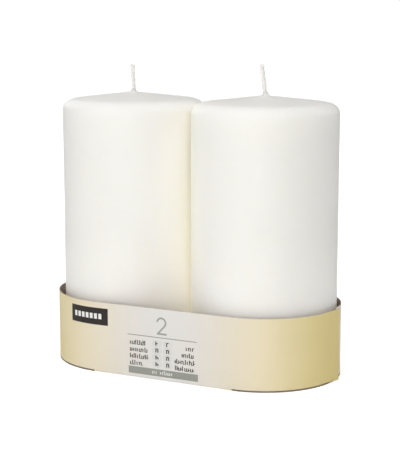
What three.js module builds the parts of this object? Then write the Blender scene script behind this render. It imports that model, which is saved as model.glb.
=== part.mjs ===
// Twin pack of two pillar candles standing in a low tray folded from one piece of printed board.
// Millimetres, +Z up. The origin is the middle of the tray's underside, +X runs along the pair
// and -Y is the printed front. Every fit comes from the driving dimensions below.

import * as THREE from 'three';

// Pillar candles
const CANDLE_DIAMETER = 80;
const CANDLE_HEIGHT = 151.5;
const CANDLE_GAP = 1;
const CROWN_RISE = 3.8;
const SHOULDER_WIDTH = 7.5;
const SHOULDER_DROP = 5.8;
const FOOT_CHAMFER = 0.8;
const COAT_THICKNESS = 1.6;
const COAT_CLEARANCE = 0.3;

// Wicks
const WICK_DIAMETER = 2.3;
const LEFT_WICK_PROUD = 15.6;
const RIGHT_WICK_PROUD = 16.2;
const LEFT_WICK_LEAN = [-0.55, -0.3];
const RIGHT_WICK_LEAN = [-1.6, -0.8];
const WICK_CLEARANCE = 0.3;
const WAX_COLLAR_WIDTH = 1.6;
const WAX_COLLAR_HEIGHT = 0.9;

// Wick sustainers, the tinplate discs under the wicks
const SUSTAINER_DIAMETER = 20;
const SUSTAINER_THICKNESS = 0.4;
const SUSTAINER_NECK_HEIGHT = 5;
const SUSTAINER_NECK_WALL = 0.4;
const SUSTAINER_CLEARANCE = 0.3;

// Board tray
const BOARD_THICKNESS = 0.5;
const TRAY_HEIGHT = 39.4;
const TRAY_SLACK = 2.5;
const REAR_CLEARANCE = 0.3;
const CREASE_PAST_STRAIGHT = 7;
const GLUE_GAP = 0.2;
const SEAM_PAST_END = 11;
const SEAM_OVERLAP = 14;
const SEAM_JOG_LENGTH = 9;
const GLUE_FLAP_HEIGHT = 12;
const GLUE_FLAP_INSET = 3;

// Fineness of the round shapes
const LATHE_SIDES = 48;
const CROWN_STEPS = 3;
const SHOULDER_STEPS = 4;
const WICK_SIDE_STEPS = 5;
const WICK_LENGTH_STEPS = 24;
const END_STEPS = 32;
const SHORTEST_FACET = 0.5;

const candleRadius = CANDLE_DIAMETER / 2;
const wickRadius = WICK_DIAMETER / 2;
const wickHoleRadius = wickRadius + WICK_CLEARANCE;
const coreInset = COAT_THICKNESS + COAT_CLEARANCE;
const candleSpacing = CANDLE_DIAMETER + CANDLE_GAP;
const trayHalfStraight = candleSpacing / 2;
const trayEndRadius = candleRadius + TRAY_SLACK + BOARD_THICKNESS;
const trayEndLength = Math.PI * trayEndRadius;
const doubledBoard = BOARD_THICKNESS + GLUE_GAP;
const candleSetback = TRAY_SLACK - doubledBoard - REAR_CLEARANCE;

const paint = (color, roughness, metalness = 0) =>
  new THREE.MeshStandardMaterial({ color, roughness, metalness });

const WAX_WHITE = 0xf6f2e9;
const WAX_CORE = 0xf4eee0;
const WICK_WHITE = 0xece8e0;
const TINPLATE = 0xb9bcbe;
const BOARD_CREAM = 0xe3d6b4;
const BOARD_GREY = 0x8d8172;

function namedMesh(name, geometry, material) {
  const mesh = new THREE.Mesh(geometry, material);
  mesh.name = name;
  return mesh;
}

// A turned solid about Z from profile points of [radius, height].
function turned(profile) {
  const points = profile.map(([radius, height]) => new THREE.Vector2(radius, height));
  points.push(points[0].clone());
  const geometry = new THREE.LatheGeometry(points, LATHE_SIDES);
  geometry.rotateX(Math.PI / 2);
  return geometry;
}

// A flat outline of [x, y] points given thickness along +Z.
function slab(outline, thickness) {
  const shape = new THREE.Shape(outline.map(([x, y]) => new THREE.Vector2(x, y)));
  return new THREE.ExtrudeGeometry(shape, { depth: thickness, bevelEnabled: false });
}

// ---- Candles ---------------------------------------------------------------------------------

// Side, rounded shoulder and domed crown of the pillar, sunk by an inset, from the top of the
// side to the given radius at the middle. Heights are measured from the candle's foot.
function pillarTop(inset, innerRadius) {
  const shoulderFoot = CANDLE_HEIGHT - CROWN_RISE - SHOULDER_DROP;
  const crownRadius = candleRadius - SHOULDER_WIDTH;
  const points = [];
  for (let step = 0; step <= SHOULDER_STEPS; step += 1) {
    const turn = (step / SHOULDER_STEPS) * (Math.PI / 2);
    points.push([
      crownRadius + (SHOULDER_WIDTH - inset) * Math.cos(turn),
      shoulderFoot + (SHOULDER_DROP - inset) * Math.sin(turn),
    ]);
  }
  for (let step = 1; step <= CROWN_STEPS; step += 1) {
    const share = step / CROWN_STEPS;
    const radius = crownRadius + (innerRadius - crownRadius) * share;
    const slope = 1 - radius / crownRadius;
    points.push([radius, shoulderFoot + SHOULDER_DROP + CROWN_RISE * slope - inset]);
  }
  return points;
}

// The dipped outer wax, open at the foot, with a small collar of wax round the wick.
function coatGeometry() {
  const collarRadius = wickHoleRadius + WAX_COLLAR_WIDTH;
  const outside = pillarTop(0, collarRadius);
  const crownHeight = outside[outside.length - 1][1];
  const inside = pillarTop(COAT_THICKNESS, wickHoleRadius).reverse();
  const innerRadius = candleRadius - COAT_THICKNESS;
  return turned([
    [innerRadius, 0],
    [candleRadius - FOOT_CHAMFER, 0],
    [candleRadius, FOOT_CHAMFER],
    ...outside,
    [wickHoleRadius + WAX_COLLAR_WIDTH / 3, crownHeight + WAX_COLLAR_HEIGHT / 3],
    [wickHoleRadius, crownHeight + WAX_COLLAR_HEIGHT],
    ...inside,
  ]);
}

// The pressed wax core with its wick channel and the recess for the sustainer in its foot.
function coreGeometry() {
  const neckSpace = wickHoleRadius + SUSTAINER_NECK_WALL + SUSTAINER_CLEARANCE;
  const neckTop = SUSTAINER_THICKNESS + SUSTAINER_NECK_HEIGHT + SUSTAINER_CLEARANCE;
  const recessRadius = SUSTAINER_DIAMETER / 2 + SUSTAINER_CLEARANCE;
  const recessDepth = SUSTAINER_THICKNESS + SUSTAINER_CLEARANCE;
  return turned([
    [recessRadius, 0],
    [candleRadius - coreInset, 0],
    ...pillarTop(coreInset, wickHoleRadius),
    [wickHoleRadius, neckTop],
    [neckSpace, neckTop],
    [neckSpace, recessDepth],
    [recessRadius, recessDepth],
  ]);
}

// A disc with a short neck that grips the wick, flush with the candle's foot.
function sustainerGeometry() {
  const neckRadius = wickHoleRadius + SUSTAINER_NECK_WALL;
  const neckTop = SUSTAINER_THICKNESS + SUSTAINER_NECK_HEIGHT;
  return turned([
    [wickHoleRadius, 0],
    [SUSTAINER_DIAMETER / 2, 0],
    [SUSTAINER_DIAMETER / 2, SUSTAINER_THICKNESS],
    [neckRadius, SUSTAINER_THICKNESS],
    [neckRadius, neckTop],
    [wickHoleRadius, neckTop],
  ]);
}

// The braided wick, upright inside the wax and leaning above it.
function wickGeometry(proud, [leanX, leanY]) {
  const route = new THREE.CurvePath();
  const foot = new THREE.Vector3(0, 0, SUSTAINER_THICKNESS);
  const mouth = new THREE.Vector3(0, 0, CANDLE_HEIGHT);
  const tip = new THREE.Vector3(leanX, leanY, CANDLE_HEIGHT + proud);
  const bend = new THREE.Vector3(0, 0, CANDLE_HEIGHT + proud / 3);
  route.add(new THREE.LineCurve3(foot, mouth));
  route.add(new THREE.QuadraticBezierCurve3(mouth, bend, tip));
  const section = new THREE.Shape();
  section.absarc(0, 0, wickRadius, 0, 2 * Math.PI, false);
  return new THREE.ExtrudeGeometry(section, {
    extrudePath: route,
    steps: WICK_LENGTH_STEPS,
    curveSegments: WICK_SIDE_STEPS,
  });
}

function candle(side, centreX, proud, lean) {
  const pieces = new THREE.Group();
  pieces.position.set(centreX, candleSetback, BOARD_THICKNESS);
  pieces.add(
    namedMesh(`${side}_wax_core`, coreGeometry(), paint(WAX_CORE, 0.5)),
    namedMesh(`${side}_wax_coat`, coatGeometry(), paint(WAX_WHITE, 0.35)),
    namedMesh(`${side}_wick`, wickGeometry(proud, lean), paint(WICK_WHITE, 0.8)),
    namedMesh(`${side}_wick_sustainer`, sustainerGeometry(), paint(TINPLATE, 0.35, 0.9)),
  );
  return pieces;
}

// ---- Tray ------------------------------------------------------------------------------------

// A point on the tray's outline, a length along it from the middle of the front, positive
// towards +X, and moved inwards by an inset.
function outlinePoint(along, inset) {
  const side = Math.sign(along) || 1;
  const length = Math.abs(along);
  const radius = trayEndRadius - inset;
  if (length <= trayHalfStraight) {
    return [along, -radius];
  }
  const turnedLength = length - trayHalfStraight;
  if (turnedLength >= trayEndLength) {
    return [side * (trayHalfStraight - (turnedLength - trayEndLength)), radius];
  }
  const angle = turnedLength / trayEndRadius - Math.PI / 2;
  return [side * (trayHalfStraight + radius * Math.cos(angle)), radius * Math.sin(angle)];
}

// The lengths between two places where the outline needs a point: both places, and the even
// steps of the round ends, which every panel shares so that they all lie on the same facets.
function outlineStations(from, to) {
  const low = Math.min(from, to);
  const high = Math.max(from, to);
  const between = [];
  for (const side of [-1, 1]) {
    for (let step = 0; step <= END_STEPS; step += 1) {
      const along = side * (trayHalfStraight + (trayEndLength * step) / END_STEPS);
      if (along > low + SHORTEST_FACET && along < high - SHORTEST_FACET) {
        between.push(along);
      }
    }
  }
  between.sort((first, second) => first - second);
  const stations = [low, ...between, high];
  return from < to ? stations : stations.reverse();
}

// Points of the outline between two lengths. The inset is a number or a function of the length.
function outlineStretch(from, to, inset) {
  const insetAt = typeof inset === 'function' ? inset : () => inset;
  return outlineStations(from, to).map((along) => outlinePoint(along, insetAt(along)));
}

// A standing wall that follows the outline between two lengths.
function wallGeometry(from, to, height, outerInset) {
  const insetAt = typeof outerInset === 'function' ? outerInset : () => outerInset;
  const outer = outlineStretch(from, to, insetAt);
  const inner = outlineStretch(to, from, (along) => insetAt(along) + BOARD_THICKNESS);
  return slab([...outer, ...inner], height);
}

const rearMiddle = 2 * trayHalfStraight + trayEndLength;
const frontCrease = trayHalfStraight + CREASE_PAST_STRAIGHT;
const rearCrease = rearMiddle - frontCrease;
const seamAngle = THREE.MathUtils.degToRad(SEAM_PAST_END);
const seamLength = trayHalfStraight + trayEndRadius * (Math.PI / 2 + seamAngle);

// How far the rear layer is pressed in to pass under the front layer at the seam.
function seamJog(along) {
  const share = THREE.MathUtils.clamp((along - seamLength) / SEAM_JOG_LENGTH, 0, 1);
  return doubledBoard * (1 - share);
}

// The base panel: its round ends reach out under the band, and between the creases it stops
// inside the front and rear walls.
function basePanelGeometry() {
  const creased = doubledBoard;
  const outline = [
    ...outlineStretch(-frontCrease, frontCrease, creased),
    ...outlineStretch(frontCrease, rearCrease, 0),
    ...outlineStretch(rearCrease, rearMiddle, creased),
    ...outlineStretch(-rearMiddle, -rearCrease, creased).slice(1),
    ...outlineStretch(-rearCrease, -frontCrease, 0),
  ];
  return slab(outline, BOARD_THICKNESS);
}

function rearWallGeometry() {
  const outer = [
    ...outlineStretch(rearCrease, rearMiddle, 0),
    ...outlineStretch(-rearMiddle, -rearCrease, 0).slice(1),
  ];
  const inner = [
    ...outlineStretch(-rearCrease, -rearMiddle, BOARD_THICKNESS),
    ...outlineStretch(rearMiddle, rearCrease, BOARD_THICKNESS).slice(1),
  ];
  return slab([...outer, ...inner], TRAY_HEIGHT);
}

// The flap folded up from the base panel and glued inside the rear wall.
function glueFlapGeometry() {
  const half = trayHalfStraight - GLUE_FLAP_INSET;
  const outerY = trayEndRadius - doubledBoard;
  const innerY = outerY - BOARD_THICKNESS;
  return slab([[-half, innerY], [half, innerY], [half, outerY], [-half, outerY]], GLUE_FLAP_HEIGHT);
}

function tray() {
  const panels = new THREE.Group();
  const printed = () => paint(BOARD_CREAM, 0.55);
  const unprinted = () => paint(BOARD_GREY, 0.9);
  const standing = TRAY_HEIGHT - BOARD_THICKNESS;
  const onBase = (mesh) => {
    mesh.position.z = BOARD_THICKNESS;
    return mesh;
  };
  panels.add(
    namedMesh('base_panel', basePanelGeometry(), unprinted()),
    namedMesh('front_wall', wallGeometry(-frontCrease, frontCrease, TRAY_HEIGHT, 0), printed()),
    namedMesh('rear_wall', rearWallGeometry(), printed()),
    onBase(namedMesh('left_end_wall',
      wallGeometry(-rearCrease, -frontCrease, standing, 0), printed())),
    onBase(namedMesh('right_end_front_wall',
      wallGeometry(frontCrease, seamLength, standing, 0), printed())),
    onBase(namedMesh('right_end_rear_wall',
      wallGeometry(seamLength, rearCrease, standing, seamJog), printed())),
    onBase(namedMesh('seam_flap',
      wallGeometry(seamLength - SEAM_OVERLAP, seamLength, standing, doubledBoard), unprinted())),
    onBase(namedMesh('rear_glue_flap', glueFlapGeometry(), unprinted())),
  );
  return panels;
}

const twinPack = new THREE.Group();
twinPack.add(
  tray(),
  candle('left', -candleSpacing / 2, LEFT_WICK_PROUD, LEFT_WICK_LEAN),
  candle('right', candleSpacing / 2, RIGHT_WICK_PROUD, RIGHT_WICK_LEAN),
);

export default twinPack;
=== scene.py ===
# A twin pack of pillar candles: two white wax pillars with braided wicks, standing in a low tray
# folded from one piece of printed board. Metres, +Z up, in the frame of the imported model.

import math
import random

import bpy
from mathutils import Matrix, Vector


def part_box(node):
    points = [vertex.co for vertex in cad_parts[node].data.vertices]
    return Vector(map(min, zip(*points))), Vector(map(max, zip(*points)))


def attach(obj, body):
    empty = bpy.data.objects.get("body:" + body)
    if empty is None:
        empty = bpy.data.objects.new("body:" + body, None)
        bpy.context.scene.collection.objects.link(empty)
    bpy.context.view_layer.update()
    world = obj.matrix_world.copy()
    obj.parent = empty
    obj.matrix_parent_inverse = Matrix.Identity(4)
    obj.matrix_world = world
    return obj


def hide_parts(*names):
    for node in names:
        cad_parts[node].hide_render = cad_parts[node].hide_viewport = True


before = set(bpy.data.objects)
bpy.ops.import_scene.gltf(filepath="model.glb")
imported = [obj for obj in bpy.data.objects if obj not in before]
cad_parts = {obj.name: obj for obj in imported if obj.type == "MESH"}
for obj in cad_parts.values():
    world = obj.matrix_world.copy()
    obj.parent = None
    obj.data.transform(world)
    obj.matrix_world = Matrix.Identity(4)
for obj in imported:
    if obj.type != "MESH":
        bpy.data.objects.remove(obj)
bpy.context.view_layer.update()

MM = 0.001
NEAR = 0.01 * MM
SIDES = ("left", "right")
dice = random.Random(7)

# ---- Sizes -------------------------------------------------------------------

_, base_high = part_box("base_panel")
wall_low, wall_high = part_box("front_wall")
_, flap_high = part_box("rear_glue_flap")
sustainer_low, sustainer_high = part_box("left_wick_sustainer")
sustainer_height = sustainer_high.z - sustainer_low.z

board = base_high.z
tray_height = wall_high.z
tray_radius = -wall_low.y
end_centre = base_high.x - tray_radius
crease_half = wall_high.x
glue_gap = tray_radius - board - flap_high.y
doubled_board = board + glue_gap
end_length = math.pi * tray_radius
half_round = 2 * end_centre + end_length

SEAM_PAST_END = math.radians(1.8)
SEAM_OVERLAP = 14 * MM
SEAM_JOG = 9 * MM
SEAM_SPRING = 11.8 * MM
seam_along = end_centre + tray_radius * (math.pi / 2 + SEAM_PAST_END)

SHOULDER_WIDTH = 7.5 * MM
SHOULDER_DROP = 5.8 * MM
CROWN_RISE = 3.8 * MM
WICK_HOLE = 1.45 * MM
COAT_THICKNESS = 1.6 * MM
CANDLE_HEIGHT = 151.5 * MM
feet = {}
for side in SIDES:
    coat_low, coat_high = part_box(f"{side}_wax_coat")
    candle_radius = (coat_high.x - coat_low.x) / 2
    middle = (coat_low + coat_high) / 2
    feet[side] = Vector((middle.x, middle.y, coat_low.z))

# How far a wick stands out of the wax, how far its tip leans over and how far off centre it sits.
WICKS = {
    "left": {"proud": 15.1 * MM, "lean": Vector((-0.4, -0.15, 0)) * MM,
             "shift": Vector((0, 0, 0))},
    "right": {"proud": 16.0 * MM, "lean": Vector((-1.5, -0.7, 0)) * MM,
              "shift": Vector((-0.35, -0.15, 0)) * MM},
}

# ---- Modelling helpers -------------------------------------------------------


def deselect_all():
    if bpy.context.object and bpy.context.object.mode != "OBJECT":
        bpy.ops.object.mode_set(mode="OBJECT")
    bpy.ops.object.select_all(action="DESELECT")


def start_piece(name, *materials):
    """Names the primitive just added, puts its place into its mesh and opens it for editing."""
    piece = bpy.context.object
    piece.name = name
    piece.data.name = name
    for material in materials:
        piece.data.materials.append(material)
    bpy.ops.object.transform_apply(location=True, rotation=True, scale=True)
    bpy.ops.object.mode_set(mode="EDIT")
    return piece


def pick(piece, kind, test):
    """Selects the vertices, edges or faces of a piece in edit mode whose middle passes a test."""
    bpy.ops.mesh.select_mode(type=kind)
    bpy.ops.mesh.select_all(action="DESELECT")
    bpy.ops.object.mode_set(mode="OBJECT")
    mesh = piece.data
    places = [vertex.co for vertex in mesh.vertices]
    if kind == "VERT":
        for vertex in mesh.vertices:
            vertex.select = test(vertex.co)
    elif kind == "EDGE":
        for edge in mesh.edges:
            edge.select = test(*(places[index] for index in edge.vertices))
    else:
        for face in mesh.polygons:
            face.select = test(face.center, face.normal)
    bpy.ops.object.mode_set(mode="EDIT")


def extrude(step):
    """Draws the selection out by a step and leaves the new end selected."""
    bpy.ops.mesh.extrude_region_move(TRANSFORM_OT_translate={"value": step})


def face_out_and_close():
    """Turns every face of a closed piece outwards and leaves edit mode."""
    bpy.ops.mesh.select_all(action="SELECT")
    bpy.ops.mesh.normals_make_consistent(inside=False)
    bpy.ops.object.mode_set(mode="OBJECT")


def apply_modifier(piece, kind, name, **settings):
    bpy.context.view_layer.objects.active = piece
    modifier = piece.modifiers.new(name, kind)
    for setting, value in settings.items():
        setattr(modifier, setting, value)
    bpy.ops.object.modifier_apply(modifier=modifier.name)


def finish_piece(piece, body, smooth_angle=35, replaced=()):
    """Closes a piece: shading, the body it rides on and the nodes it stands for."""
    deselect_all()
    piece.select_set(True)
    bpy.context.view_layer.objects.active = piece
    bpy.ops.object.transform_apply(location=True, rotation=True, scale=True)
    bpy.ops.object.shade_smooth_by_angle(angle=math.radians(smooth_angle))
    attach(piece, body)
    if replaced:
        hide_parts(*replaced)
    return piece


def join_pieces(pieces, name):
    deselect_all()
    for piece in pieces:
        piece.select_set(True)
    bpy.context.view_layer.objects.active = pieces[0]
    bpy.ops.object.join()
    joined = bpy.context.object
    joined.name = name
    joined.data.name = name
    return joined


# ---- Materials ---------------------------------------------------------------

WHITE = (1, 1, 1, 1)
DARK = (0, 0, 0, 1)


def new_group(name, values, outputs):
    """A shader node group that takes coordinates and the named numbers or colours."""
    group = bpy.data.node_groups.new(name, "ShaderNodeTree")
    group.interface.new_socket("Vector", in_out="INPUT", socket_type="NodeSocketVector")
    for label, value in values.items():
        kind = "NodeSocketFloat" if isinstance(value, float) else "NodeSocketColor"
        socket = group.interface.new_socket(label, in_out="INPUT", socket_type=kind)
        socket.default_value = value
    for label, kind in outputs.items():
        group.interface.new_socket(label, in_out="OUTPUT", socket_type=kind)
    return group, group.nodes.new("NodeGroupInput"), group.nodes.new("NodeGroupOutput")


def link(tree, pairs):
    for source, target in pairs:
        tree.links.new(source, target)


def noise(tree, coordinates, scale, detail=3.0, roughness=0.55, distortion=0.0):
    node = tree.nodes.new("ShaderNodeTexNoise")
    node.inputs["Detail"].default_value = detail
    node.inputs["Roughness"].default_value = roughness
    node.inputs["Distortion"].default_value = distortion
    if isinstance(scale, float):
        node.inputs["Scale"].default_value = scale
    else:
        tree.links.new(scale, node.inputs["Scale"])
    tree.links.new(coordinates, node.inputs["Vector"])
    return node.outputs["Fac"]


def math_node(tree, operation, first, second=None, third=None, clamp=False):
    node = tree.nodes.new("ShaderNodeMath")
    node.operation = operation
    node.use_clamp = clamp
    for socket, value in zip(node.inputs, (first, second, third)):
        if value is None:
            continue
        if isinstance(value, (int, float)):
            socket.default_value = value
        else:
            tree.links.new(value, socket)
    return node.outputs[0]


def remap(tree, value, low, high, out_low, out_high, smooth=False):
    node = tree.nodes.new("ShaderNodeMapRange")
    node.interpolation_type = "SMOOTHSTEP" if smooth else "LINEAR"
    tree.links.new(value, node.inputs["Value"])
    node.inputs["From Min"].default_value = low
    node.inputs["From Max"].default_value = high
    for label, number in (("To Min", out_low), ("To Max", out_high)):
        if isinstance(number, (int, float)):
            node.inputs[label].default_value = number
        else:
            tree.links.new(number, node.inputs[label])
    return node.outputs["Result"]


def mix_colour(tree, factor, first, second):
    node = tree.nodes.new("ShaderNodeMix")
    node.data_type = "RGBA"
    for index, value in ((0, factor), (6, first), (7, second)):
        if isinstance(value, (int, float)):
            node.inputs[index].default_value = value
        elif isinstance(value, tuple):
            node.inputs[index].default_value = (*value, 1)
        else:
            tree.links.new(value, node.inputs[index])
    return node.outputs[2]


def build_mottle_group():
    """Slow, soft changes of a colour over a surface, as in wax, cotton and coated board."""
    group, given, out = new_group(
        "soft_mottle",
        {"Light Colour": WHITE, "Dark Colour": DARK, "Patch Scale": 60.0, "Amount": 0.5},
        {"Colour": "NodeSocketColor", "Mask": "NodeSocketFloat"})
    broad = noise(group, given.outputs["Vector"], given.outputs["Patch Scale"], 2.0)
    closer = math_node(group, "MULTIPLY", given.outputs["Patch Scale"], 6.3)
    fine = noise(group, given.outputs["Vector"], closer, 3.0)
    both = math_node(group, "MULTIPLY_ADD", fine, 0.4, math_node(group, "MULTIPLY", broad, 0.6))
    mask = remap(group, both, 0.36, 0.64, 0.0, 1.0, smooth=True)
    share = math_node(group, "MULTIPLY", mask, given.outputs["Amount"])
    colour = mix_colour(group, share, given.outputs["Light Colour"], given.outputs["Dark Colour"])
    link(group, [(colour, out.inputs["Colour"]), (mask, out.inputs["Mask"])])
    return group


def build_grain_group():
    """A fine height pattern: a close grain with a slower swell under it."""
    group, given, out = new_group(
        "close_grain",
        {"Grain Scale": 900.0, "Swell Scale": 120.0, "Swell Share": 0.5},
        {"Height": "NodeSocketFloat"})
    grain = noise(group, given.outputs["Vector"], given.outputs["Grain Scale"], 4.0)
    swell = noise(group, given.outputs["Vector"], given.outputs["Swell Scale"], 2.0)
    node = group.nodes.new("ShaderNodeMix")
    link(group, [(given.outputs["Swell Share"], node.inputs[0]), (grain, node.inputs[2]),
                 (swell, node.inputs[3]), (node.outputs[0], out.inputs["Height"])])
    return group


def build_scuff_group():
    """A sparse mask of short scratches and rubbed spots."""
    group, given, out = new_group(
        "light_scuffs",
        {"Scale": 40.0, "Cover": 0.3},
        {"Mask": "NodeSocketFloat"})
    stretch = group.nodes.new("ShaderNodeMapping")
    stretch.inputs["Rotation"].default_value = (0.5, 0.2, 0.7)
    stretch.inputs["Scale"].default_value = (1.0, 9.0, 9.0)
    group.links.new(given.outputs["Vector"], stretch.inputs["Vector"])
    lines = noise(group, stretch.outputs["Vector"], given.outputs["Scale"], 5.0, 0.7, 0.6)
    sharp = remap(group, lines, 0.62, 0.70, 0.0, 1.0, smooth=True)
    places = noise(group, given.outputs["Vector"], given.outputs["Scale"], 1.0)
    where = remap(group, places, 0.52, 0.68, 0.0, given.outputs["Cover"], smooth=True)
    group.links.new(math_node(group, "MULTIPLY", sharp, where), out.inputs["Mask"])
    return group


soft_mottle = build_mottle_group()
close_grain = build_grain_group()
light_scuffs = build_scuff_group()


def place_group(tree, group, coordinates, **values):
    node = tree.nodes.new("ShaderNodeGroup")
    node.node_tree = group
    tree.links.new(coordinates, node.inputs["Vector"])
    for label, value in values.items():
        node.inputs[label.replace("_", " ")].default_value = value
    return node


def start_material(name, **constants):
    """A material with the constants of its shader set, and Object coordinates to work from."""
    material = bpy.data.materials.new(name)
    material.use_nodes = True
    tree = material.node_tree
    shader = tree.nodes["Principled BSDF"]
    for label, value in constants.items():
        shader.inputs[label.replace("_", " ")].default_value = value
    coordinates = tree.nodes.new("ShaderNodeTexCoord").outputs["Object"]
    return material, tree, shader, coordinates


def scale_vector(tree, vector, amount):
    node = tree.nodes.new("ShaderNodeVectorMath")
    node.operation = "SCALE"
    link(tree, [(vector, node.inputs[0]), (amount, node.inputs["Scale"])])
    return node.outputs["Vector"]


def paint(tree, shader, colour, rough):
    link(tree, [(colour, shader.inputs["Base Color"]), (rough, shader.inputs["Roughness"])])


def bump(tree, shader, height, strength, distance):
    node = tree.nodes.new("ShaderNodeBump")
    node.inputs["Strength"].default_value = strength
    node.inputs["Distance"].default_value = distance
    tree.links.new(height, node.inputs["Height"])
    tree.links.new(node.outputs["Normal"], shader.inputs["Normal"])


# Between which heights, and between which places across, the painted glow in the wax rises or
# fades.
FOOT_FADE = (34 * MM, 84 * MM)
GAP_FADE = (60 * MM, 150 * MM)
LEFT_RISE = (-14 * MM, -2 * MM)
MEETING_RISE = (-3 * MM, -0.5 * MM)
RIGHT_RISE = (6 * MM, 12 * MM)
RIGHT_FADE = (10 * MM, 26 * MM)


def build_glow_group():
    """Painted glow that the wax emits in place of light scattered through thick wax: strongest low
    down and where the two pillars meet.
    """
    group, given, out = new_group(
        "painted_wax_glow",
        {"Foot Glow": DARK, "Gap Glow": DARK},
        {"Colour": "NodeSocketColor"})
    parts = group.nodes.new("ShaderNodeSeparateXYZ")
    group.links.new(given.outputs["Vector"], parts.inputs[0])
    across, up = parts.outputs["X"], parts.outputs["Z"]
    low = remap(group, up, *FOOT_FADE, 1.0, 0.0, smooth=True)
    left = remap(group, across, *LEFT_RISE, 0.0, 0.45, smooth=True)
    meeting = remap(group, across, *MEETING_RISE, 0.0, 0.6, smooth=True)
    right = remap(group, across, *RIGHT_RISE, 0.0, 0.45, smooth=True)
    rising = math_node(group, "ADD", math_node(group, "ADD", left, meeting), right, clamp=True)
    falling = remap(group, across, *RIGHT_FADE, 1.0, 0.0, smooth=True)
    beside = math_node(group, "MULTIPLY", rising, falling)
    higher = math_node(group, "MULTIPLY_ADD", low, -0.4, remap(group, up, *GAP_FADE, 0.9, 0.4))
    gap = math_node(group, "MULTIPLY", beside, higher)
    both = group.nodes.new("ShaderNodeVectorMath")
    link(group, [(scale_vector(group, given.outputs["Foot Glow"], low), both.inputs[0]),
                 (scale_vector(group, given.outputs["Gap Glow"], gap), both.inputs[1]),
                 (both.outputs["Vector"], out.inputs["Colour"])])
    return group


painted_wax_glow = build_glow_group()
# Colours of the painted glow low down and where the two pillars meet.
PAINTED_FOOT_GLOW = (0.052, 0.042, 0.036, 1)
PAINTED_GAP_GLOW = (0.086, 0.091, 0.041, 1)


def white_wax():
    material, tree, shader, place = start_material(
        "white_wax", IOR=1.44, Subsurface_Weight=1.0, Subsurface_Scale=0.010,
        Subsurface_Radius=(1.0, 0.96, 0.9), Specular_IOR_Level=0.26)
    mottle = place_group(tree, soft_mottle, place, Light_Colour=(0.952, 0.91, 0.866, 1),
                         Dark_Colour=(0.938, 0.89, 0.833, 1), Patch_Scale=34.0, Amount=0.55)
    bloom = noise(tree, place, 140.0, 4.0, 0.65, 0.4)
    frost = remap(tree, bloom, 0.58, 0.74, 0.0, 0.35, smooth=True)
    colour = mix_colour(tree, frost, mottle.outputs["Colour"], (0.96, 0.927, 0.893))
    scuffs = place_group(tree, light_scuffs, place, Scale=42.0, Cover=0.7)
    dull = remap(tree, mottle.outputs["Mask"], 0.0, 1.0, 0.44, 0.54)
    rough = math_node(tree, "MULTIPLY_ADD", scuffs.outputs["Mask"], 0.16, dull)
    grain = place_group(tree, close_grain, place, Grain_Scale=1500.0, Swell_Scale=110.0,
                        Swell_Share=0.78)
    height = math_node(tree, "MULTIPLY_ADD", scuffs.outputs["Mask"], -0.12,
                       grain.outputs["Height"])
    paint(tree, shader, colour, rough)
    bump(tree, shader, height, 0.22, 0.00025)
    # The wax emits a painted glow near its foot and between the pillars, standing in for light
    # scattered through it.
    glow = place_group(tree, painted_wax_glow, place, Foot_Glow=PAINTED_FOOT_GLOW, Gap_Glow=PAINTED_GAP_GLOW)
    tree.links.new(glow.outputs["Colour"], shader.inputs["Emission Color"])
    shader.inputs["Emission Strength"].default_value = 1.0
    return material


def waxed_cotton():
    material, tree, shader, place = start_material(
        "waxed_cotton", IOR=1.45, Sheen_Weight=0.15)
    mottle = place_group(tree, soft_mottle, place, Light_Colour=(0.93, 0.92, 0.89, 1),
                         Dark_Colour=(0.88, 0.865, 0.825, 1), Patch_Scale=420.0, Amount=0.7)
    stretch = tree.nodes.new("ShaderNodeMapping")
    stretch.inputs["Scale"].default_value = (1.0, 1.0, 0.22)
    tree.links.new(place, stretch.inputs["Vector"])
    fibres = noise(tree, stretch.outputs["Vector"], 9000.0, 3.0, 0.6)
    rough = remap(tree, mottle.outputs["Mask"], 0.0, 1.0, 0.5, 0.72)
    paint(tree, shader, mottle.outputs["Colour"], rough)
    bump(tree, shader, fibres, 0.35, 0.00004)
    return material


def stamped_tin():
    material, tree, shader, place = start_material("stamped_tin", Metallic=1.0)
    mottle = place_group(tree, soft_mottle, place, Light_Colour=(0.66, 0.67, 0.68, 1),
                         Dark_Colour=(0.52, 0.53, 0.54, 1), Patch_Scale=260.0, Amount=0.8)
    scuffs = place_group(tree, light_scuffs, place, Scale=180.0, Cover=1.0)
    rough = remap(tree, scuffs.outputs["Mask"], 0.0, 1.0, 0.28, 0.5)
    grain = place_group(tree, close_grain, place, Grain_Scale=4000.0, Swell_Scale=500.0,
                        Swell_Share=0.4)
    paint(tree, shader, mottle.outputs["Colour"], rough)
    bump(tree, shader, grain.outputs["Height"], 0.2, 0.00005)
    return material


GRADIENT = (
    (0.0, (0.78, 0.767, 0.736)),
    (0.14, (0.796, 0.761, 0.723)),
    (0.27, (0.801, 0.742, 0.63)),
    (0.40, (0.831, 0.745, 0.554)),
    (0.52, (0.834, 0.728, 0.477)),
    (0.68, (0.827, 0.702, 0.341)),
    (0.84, (0.784, 0.639, 0.26)),
    (1.0, (0.765, 0.62, 0.227)),
)
GRADIENT_MIDDLE = 2 * MM
GRADIENT_REACH = 120 * MM
SEAM_MARGIN_GAP = 0.3 * MM
SEAM_MARGIN = 12 * MM
SEAM_MARGIN_COLOUR = (0.86, 0.81, 0.765)
RUBBED_COLOUR = (0.72, 0.70, 0.66)


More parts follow.
